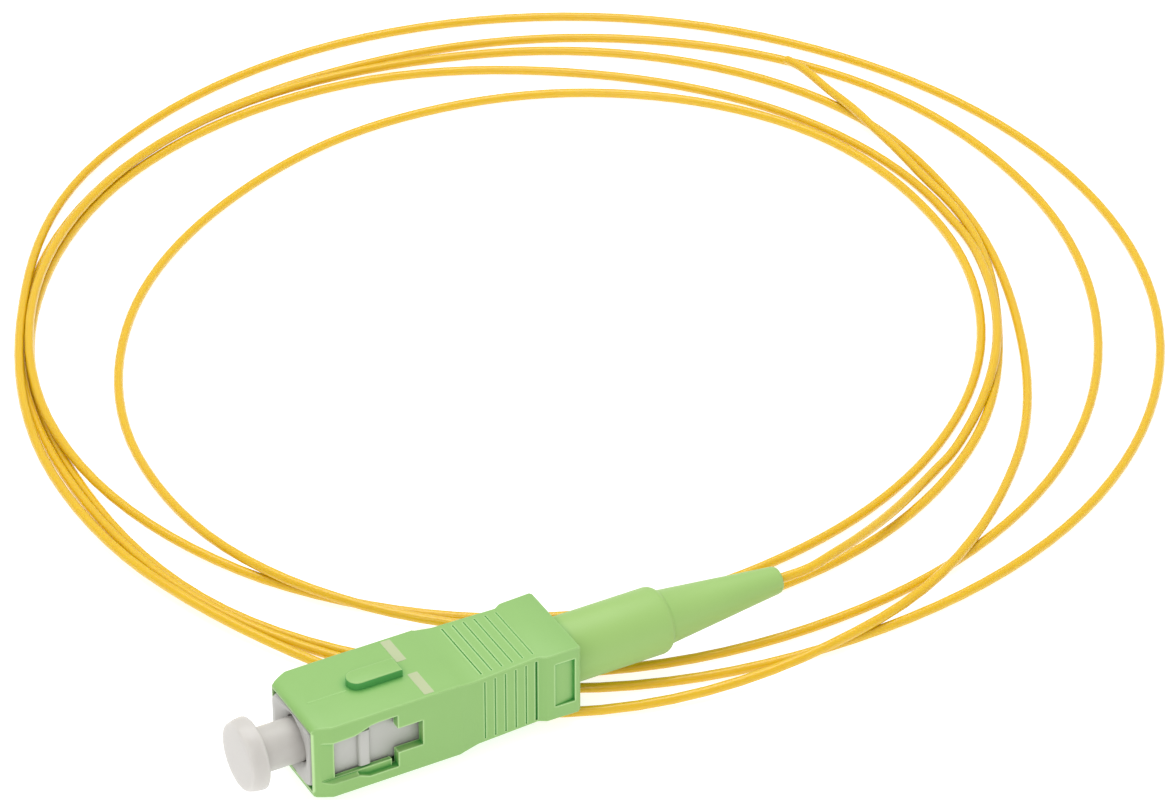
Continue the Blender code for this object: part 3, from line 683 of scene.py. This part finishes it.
def grip_grooves():
    """Thin bars that cut every grip groove into the top, the underside and both sides."""
    bars = []
    beyond = HOUSING_HIGH.y + 1 * MM
    for index in range(GROOVE_COUNT):
        place = GROOVE_FIRST + index * GROOVE_PITCH
        half = (LAST_GROOVE_WIDTH if index == GROOVE_COUNT - 1 else GROOVE_WIDTH) / 2 * MM
        share = (place - GRIP_START) / GRIP_LENGTH
        half_width = GRIP_HALF_WIDTHS[0] + share * (GRIP_HALF_WIDTHS[1] - GRIP_HALF_WIDTHS[0])
        half_height = GRIP_HALF_HEIGHTS[0] + share * (GRIP_HALF_HEIGHTS[1] - GRIP_HALF_HEIGHTS[0])
        across = (half_width - GROOVE_TOP_MARGIN) * MM
        upright = (half_height - GROOVE_SIDE_MARGIN) * MM
        depth = LAST_GROOVE_DEPTH if index == GROOVE_COUNT - 1 else GROOVE_DEPTH
        side_floor = (half_width - depth) * MM
        top_floor = AXIS_Z + (half_height - TOP_GROOVE_DEPTH) * MM
        under_floor = (GRIP_UNDERSIDE + TOP_GROOVE_DEPTH) * MM
        middle = along(place)
        thin = GROOVE_WIDTH / 2 * MM
        front, rear = middle - half, middle + half
        for way, floor in ((-1, under_floor), (1, top_floor)):
            y_low, y_high = sorted((way * side_floor, way * beyond))
            z_low, z_high = sorted((floor, AXIS_Z + way * beyond))
            bars.append(block("top_groove", (middle - thin, -across, z_low), (middle + thin, across, z_high)))
            bars.append(block("side_groove", (front, y_low, AXIS_Z - upright), (rear, y_high, AXIS_Z + upright)))
    return join_pieces(bars, "grip_grooves")


def window_cutter(side):
    """The latch window in one side wall: wide, wider still, then a narrow slot."""
    inside = side * INSIDE_WALL * MM
    corners = [(along(place), inside, height * MM) for place, height in WINDOW_OUTLINE]
    return prism("latch_window", corners, (0.0, side * BEYOND * MM, 0.0))


def post_cutter(side):
    """The recess over the post in front of a window."""
    floor = side * (HOUSING_HIGH.y - POST_DEPTH * MM)
    y_low, y_high = sorted((floor, side * (HOUSING_HIGH.y + MM)))
    low = (along(POST_FRONT), y_low, POST_RISE[0] * MM)
    high = (along(WINDOW_OUTLINE[0][0]) + INK * MM, y_high, POST_RISE[1] * MM)
    return block("post_recess", low, high)


def ledge_cutter(side):
    """A wedge that slopes the lower edge of a window down towards the outside."""
    inner = HOUSING_HIGH.y - POST_DEPTH * MM
    reach = HOUSING_HIGH.y + POST_DEPTH * MM
    places = (
        (inner, LEDGE_INNER),
        (reach, 2 * LEDGE_OUTER - LEDGE_INNER),
        (reach, LEDGE_INNER + POST_DEPTH),
    )
    corners = [(along(LEDGE_REACH[0]), side * y, height * MM) for y, height in places]
    return prism("window_ledge", corners, (along(LEDGE_REACH[1]) - along(LEDGE_REACH[0]), 0.0, 0.0))


def panel_cutter(side):
    """The bare shallow panel on one side of the rear block."""
    face = side * BLOCK_HALF_WIDTH * MM
    front, rear = (along(place) for place in PANEL_REACH)
    floor = [face - side * depth * MM for depth in PANEL_DEPTHS]
    beyond = face + side * MM
    low = PANEL_RISE[0] * MM
    corners = [(front, floor[0], low), (rear, floor[1], low), (rear, beyond, low), (front, beyond, low)]
    return prism("side_panel", corners, (0.0, 0.0, (PANEL_RISE[1] - PANEL_RISE[0]) * MM))


def pocket_cutter(side):
    """The shallow pocket below the rear half of a window, with a ramp at its front."""
    floor = side * POCKET_FLOOR * MM
    corners = [(along(place), floor, height * MM) for place, height in POCKET_OUTLINE]
    return prism("window_pocket", corners, (0.0, side * BEYOND * MM, 0.0))


def make_housing(material, painted_shade_material):
    """The green sliding grip. The key's upright sides take a darker copy of its green, painted shade."""
    housing = housing_body()
    combine(housing, housing_key(), "UNION")
    combine(housing, grip_grooves(), "DIFFERENCE")
    combine(housing, block("front_cavity", *span(-1, HOUSING_CAVITY_END, *HOUSING_CAVITY)), "DIFFERENCE")
    combine(housing, block("rear_cavity", *span(HOUSING_CAVITY_END - 0.1, BOOT_HOLE_START + 0.3, *REAR_CAVITY)), "DIFFERENCE")
    hole = closed_plug("boot_hole", ((BOOT_HOLE_START, BOOT_HOLE_RADIUS), (26.5, BOOT_HOLE_RADIUS)))
    combine(housing, hole, "DIFFERENCE")
    for side in (-1, 1):
        combine(housing, window_cutter(side), "DIFFERENCE")
        combine(housing, post_cutter(side), "DIFFERENCE")
        combine(housing, panel_cutter(side), "DIFFERENCE")
        combine(housing, pocket_cutter(side), "DIFFERENCE")
        combine(housing, ledge_cutter(side), "DIFFERENCE")
    soften(housing, 0.07 * MM)
    finish_piece(housing, material, "housing", "green_plastic", "outer_housing")
    # Painted shade: the key's upright sides get the darker copy of the green as a second material
    housing.data.materials.append(painted_shade_material)
    for face in housing.data.polygons:
        if face.center.z > HOUSING_TOP + INK * MM and abs(face.normal.z) < KEY_SIDE_LEAN:
            face.material_index = 1


def make_marks(material):
    """Two pad-printed pale marks on the top, one on each side of the key's line."""
    for name, side in (("near_mark", -1), ("far_mark", 1)):
        y_low, y_high = sorted((side * MARK_SPREAD[0] * MM, side * MARK_SPREAD[1] * MM))
        low = (along(MARK_REACH[0]), y_low, HOUSING_TOP - INK * MM)
        high = (along(MARK_REACH[1]), y_high, HOUSING_TOP + INK * MM)
        mark = block(name, low, high)
        bpy.ops.object.mode_set(mode="EDIT")
        round_edges(mark, lambda a, b: abs(a.z - b.z) > INK * MM, 0.08 * MM, 3)
        bpy.ops.object.mode_set(mode="OBJECT")
        finish_piece(mark, material, "housing", "white_plastic")


def make_moulding_line(material):
    """The fine raised line that the mould left on top, from the front edge to the key."""
    low = (along(LINE_REACH[0]), LINE_SIDE * MM, HOUSING_TOP - INK * MM)
    high = (along(LINE_REACH[1]), (LINE_SIDE + LINE_WIDTH) * MM, HOUSING_TOP + INK * MM)
    line = block("moulding_line", low, high)
    bpy.ops.object.mode_set(mode="EDIT")
    round_edges(line, lambda a, b: min(a.z, b.z) > HOUSING_TOP and runs_lengthwise(a, b), INK / 2 * MM, 2)
    bpy.ops.object.mode_set(mode="OBJECT")
    # Painted highlight: the line takes a lighter copy of the grip's green
    finish_piece(line, material, "housing", "green_plastic")


def finish_inner_piece(name, material):
    """Give one of the solids that stays in view its finish."""
    slots = bpy.data.objects[name].material_slots
    for slot in slots:
        slot.material = material


def make_frame(material):
    """The white plug frame with its rounded nose, latch ridges and stepped bore."""
    front = FRAME_FRONT
    rear = (FRAME_HIGH.x - FRONT_X) / MM
    body = block("plug_frame_shell", *span(front + INK, FRAME_STEP, *FRAME_BODY))
    bpy.ops.object.mode_set(mode="EDIT")
    round_edges(body, runs_lengthwise, FRAME_CORNER * MM, 6)
    bpy.ops.object.mode_set(mode="OBJECT")
    collar = block("front_collar", *span(front, FRAME_COLLAR_END, *FRAME_COLLAR))
    bpy.ops.object.mode_set(mode="EDIT")
    round_edges(collar, runs_lengthwise, FRAME_CORNER * MM, 6)
    round_edges(collar, lambda a, b: max(a.x, b.x) < along(front + INK), FRAME_NOSE * MM, 4)
    bpy.ops.object.mode_set(mode="OBJECT")
    combine(body, collar, "UNION")
    ridge = block("latch_ridges", *span(*RIDGE_REACH, 2 * RIDGE_HALF_SPREAD, RIDGE_HEIGHT))
    bpy.ops.object.mode_set(mode="EDIT")
    round_edges(ridge, lambda a, b: abs(a.z - b.z) > MM, 0.25 * MM, 3)
    bpy.ops.object.mode_set(mode="OBJECT")
    combine(body, ridge, "UNION")
    combine(body, block("frame_rear", *span(FRAME_STEP - 0.5, rear, *FRAME_REAR)), "UNION")
    mouth, mouth_depth = SLEEVE_MOUTH
    throat, throat_depth = SLEEVE_THROAT
    bore = closed_plug(
        "sleeve_bore",
        (
            (front - 1, mouth),
            (front, mouth),
            (front + mouth_depth, throat),
            (front + throat_depth, throat),
            (front + throat_depth, SLEEVE_BORE),
            (SLEEVE_BORE_END, SLEEVE_BORE),
        ),
    )
    combine(body, bore, "DIFFERENCE")
    combine(body, closed_plug("neck_bore", ((SLEEVE_BORE_END - 0.5, 1.55), (SLEEVE_BORE_END + 1.5, 1.55))), "DIFFERENCE")
    combine(body, closed_plug("holder_bore", ((SLEEVE_BORE_END + 1, 2.2), (rear + 1, 2.2))), "DIFFERENCE")
    soften(body, 0.08 * MM)
    finish_piece(body, material, "plug", "white_plastic", "plug_frame")


def make_boot(material):
    """The rubber boot: sleeve, rounded shoulder, cone and rounded tip, hollow over the rear body."""
    neck = ((20.6, BOOT_NECK), (24.3, BOOT_NECK))
    outline = [(along(place), radius * MM) for place, radius in neck + BOOT_OUTSIDE + BOOT_INSIDE]
    boot = closed_ring("boot_sleeve", outline)
    soften(boot, 0.05 * MM)
    finish_piece(boot, material, "plug", "green_rubber", "boot")


def make_cap(material):
    """The milky dust cap: a flange to pull on and a stem over the ferrule."""
    outline = [(along(place), radius * MM) for place, radius in CAP_OUTSIDE]
    outline += [(along(CAP_OUTSIDE[-1][0]), CAP_BORE * MM), (along(CAP_BORE_END), CAP_BORE * MM)]
    cap = closed_ring("dust_cap_shell", outline, capped=True)
    bpy.ops.object.shade_smooth_by_angle(angle=math.radians(40))
    finish_piece(cap, material, "cap", "milky_plastic", "dust_cap")


def make_camera():
    """The camera at the picture's place and angle."""
    data = bpy.data.cameras.new("camera")
    data.lens = CAMERA_LENS
    data.sensor_width = 36.0
    data.clip_start = 0.01
    camera = bpy.data.objects.new("camera", data)
    bpy.context.collection.objects.link(camera)
    camera.location = CAMERA_PLACE
    camera.rotation_euler = (CAMERA_TILT, 0.0, CAMERA_TURN)
    bpy.context.scene.camera = camera


def make_floor():
    """A plain white floor."""
    material, tree, shader = new_material("floor")
    shader.inputs["Base Color"].default_value = linear("#BEBEBE")
    shader.inputs["Roughness"].default_value = 0.6
    shader.inputs["Emission Color"].default_value = linear("#FFFFFF")
    shader.inputs["Emission Strength"].default_value = 0.75
    deselect()
    bpy.ops.mesh.primitive_plane_add(size=6.0, location=(0.05, 0.05, FLOOR_Z))
    floor = bpy.context.active_object
    floor.name = "floor"
    floor.data.materials.append(material)


def add_softbox(name, place, aim, size, power):
    """A square area light that looks at a point."""
    data = bpy.data.lights.new(name, "AREA")
    data.shape = "SQUARE"
    data.size = size
    data.energy = power
    light = bpy.data.objects.new(name, data)
    bpy.context.collection.objects.link(light)
    light.location = place
    light.rotation_euler = (Vector(aim) - Vector(place)).to_track_quat("-Z", "Y").to_euler()


def make_lights():
    """Soft studio light: a wide top box, a front fill and an even surround."""
    bpy.context.scene.view_settings.view_transform = "Standard"
    middle = (0.04, 0.03, 0.0)
    add_softbox("top_box", (0.1, 0.25, 0.9), middle, 0.8, 6.0)
    add_softbox("front_box", (-0.5, -0.6, 0.6), middle, 0.5, 1.6)
    world = bpy.data.worlds.new("surround")
    world.use_nodes = True
    background = world.node_tree.nodes["Background"]
    background.inputs["Color"].default_value = (1.0, 1.0, 1.0, 1.0)
    background.inputs["Strength"].default_value = 0.7
    bpy.context.scene.world = world


make_camera()
# Satin green plastic of the grip, with painted shade in its recesses and on the key's sides, and a painted highlight
# along its thin edges and on its moulding line
green = moulded_plastic("green_pbt", "#8AB767", "#84B161", 0.42, 0.12, 0.25, corner="#3F9A45", edge="#B4D795")
# Painted shade: a darker copy of the grip's green for the key's sides
painted_shade_green = moulded_plastic("deep_green_pbt", "#4E9E52", "#489A4C", 0.42, 0.12, 0.25)
# Painted highlight: a lighter copy of the grip's green for the moulding line
painted_highlight_green = moulded_plastic("pale_green_pbt", "#98C476", "#92BE70", 0.42, 0.12, 0.25)
# Duller, yellower green of the soft boot, with painted shade in its recesses and inner corners
boot_green = moulded_plastic("green_boot_rubber", "#98BD6B", "#92B865", 0.5, 0.2, 0.25, corner="#5FA04E")
# Glossy yellow buffer of the fibre
yellow = moulded_plastic("yellow_jacket_elastomer", "#DEB61A", "#D8AF14", 0.24, 0.3, 0.1, 0.6, 0.4 * MM)
# Off-white glass-filled plastic of the plug frame, with painted shade in its bore and inner corners
white = moulded_plastic("white_pbt", "#BBBAB6", "#B5B4AF", 0.4, 0.15, 0.2, corner="#A8A7A2")
# Milky, slightly see-through plastic of the dust cap
milky = moulded_plastic("milky_polyethylene", "#C5C2BD", "#BFBBB6", 0.35, 0.2, 0.15, 0.6, 1.5 * MM)
# Thin pale ink, so that the green tints it
ink = moulded_plastic("pale_ink", "#B2BD93", "#ABB68B", 0.5, 0.1, 0.1)
# Polished ivory ceramic, turned nickel-plated brass and drawn spring wire, seen when the cap is off
ceramic = moulded_plastic("polished_zirconia", "#EDEAE2", "#E6E2D8", 0.12, 0.3, 0.05, 0.3, 0.3 * MM)
nickel = turned_metal("turned_nickel_plate", "#C9C3B4", "#B5AE9E", 0.28, 0.08)
steel = turned_metal("drawn_spring_steel", "#B4B6BA", "#9C9EA3", 0.3, 0.05)
make_cord(yellow)
make_housing(green, painted_shade_green)
make_marks(ink)
make_frame(white)
make_boot(boot_green)
make_cap(milky)
make_moulding_line(painted_highlight_green)
for name, finish in (("ferrule", ceramic), ("ferrule_holder", nickel), ("rear_body", nickel), ("ferrule_spring", steel)):
    finish_inner_piece(name, finish)
make_floor()
make_lights()
